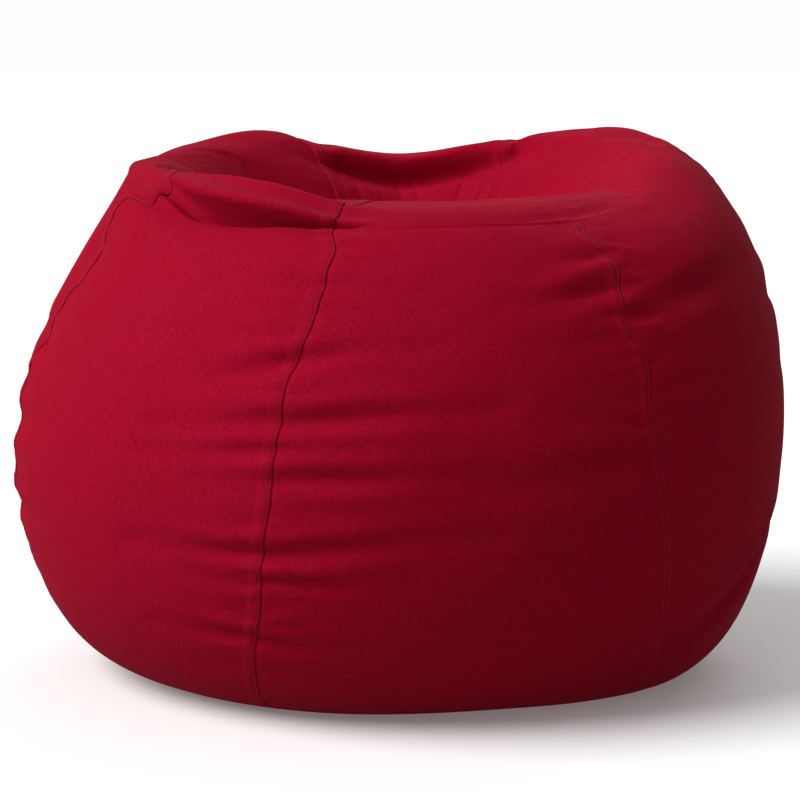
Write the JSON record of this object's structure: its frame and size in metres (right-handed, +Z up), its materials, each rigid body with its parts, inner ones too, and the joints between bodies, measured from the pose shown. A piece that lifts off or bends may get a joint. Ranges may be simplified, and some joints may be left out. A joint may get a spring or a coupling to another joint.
{
  "type": "bean bag chair",
  "caption": "Round slumped bean bag chair with a sewn twill cover, zipped base, inner liner and bead fill; gives a soft low seat.",
  "frame": {"origin": "centre of the flat base, on the floor", "axes": "+Z up, the lower front rim faces -Y, +X to the sitter's left as they face -Y"},
  "size_m": [0.7619, 0.7619, 0.5249],
  "materials": {
    "cotton_twill": "matte woven cotton twill, piece-dyed red",
    "sewing_thread": "spun polyester thread",
    "zip_tape": "woven polyester tape",
    "zip_teeth": "moulded acetal, satin",
    "zip_metal": "die-cast, nickel plated",
    "liner_cloth": "plain woven polyester, undyed",
    "liner_teeth": "nylon, satin",
    "label_tape": "plain woven label tape, blank",
    "foam_beads": "expanded polystyrene beads"
  },
  "bodies": {
    "bag": {"front_panel": "cotton_twill", "front_right_panel": "cotton_twill", "back_right_panel": "cotton_twill", "back_panel": "cotton_twill", "back_left_panel": "cotton_twill", "front_left_panel": "cotton_twill", "crown_patch": "cotton_twill", "base_panel_front": "cotton_twill", "base_panel_back": "cotton_twill", "zip_guard": "cotton_twill", "cover_zip_tape_front": "zip_tape", "cover_zip_tape_back": "zip_tape", "cover_zip_teeth_front": "zip_teeth", "cover_zip_teeth_back": "zip_teeth", "cover_zip_closed_stop_front": "zip_teeth", "cover_zip_closed_stop_back": "zip_teeth", "cover_zip_open_stop": "zip_teeth", "liner_bag": "liner_cloth", "liner_crown": "liner_cloth", "liner_base": "liner_cloth", "liner_zip_tape_front": "liner_cloth", "liner_zip_tape_back": "liner_cloth", "liner_zip_teeth_front": "liner_teeth", "liner_zip_teeth_back": "liner_teeth", "liner_zip_closed_stop_front": "liner_teeth", "liner_zip_closed_stop_back": "liner_teeth", "liner_zip_open_stop": "liner_teeth", "care_label": "label_tape", "bead_fill": "foam_beads"},
    "cover_zip_pull": {"cover_zip_pull": "zip_metal"},
    "cover_zip_slider": {"cover_zip_slider": "zip_metal"},
    "liner_zip_pull": {"liner_zip_pull": "zip_metal"},
    "liner_zip_slider": {"liner_zip_slider": "zip_metal"}
  },
  "joints": [
    {"name": "cover_zip_slide", "type": "slide", "parent": "bag", "child": "cover_zip_slider", "axis": [-1, 0, 0], "range_m": [0, 0.351]},
    {"name": "cover_zip_pull_swing", "type": "hinge", "parent": "cover_zip_slider", "child": "cover_zip_pull", "pos_m": [0.1757, 0, 0.0062], "axis": [0, -1, 0], "range_deg": [0, 180]},
    {"name": "liner_zip_slide", "type": "slide", "parent": "bag", "child": "liner_zip_slider", "axis": [-1, 0, 0], "range_m": [0, 0.279]},
    {"name": "liner_zip_pull_swing", "type": "hinge", "parent": "liner_zip_slider", "child": "liner_zip_pull", "pos_m": [0.1397, 0.11, 0.01115], "axis": [0, -1, 0], "range_deg": [0, 25]}
  ]
}
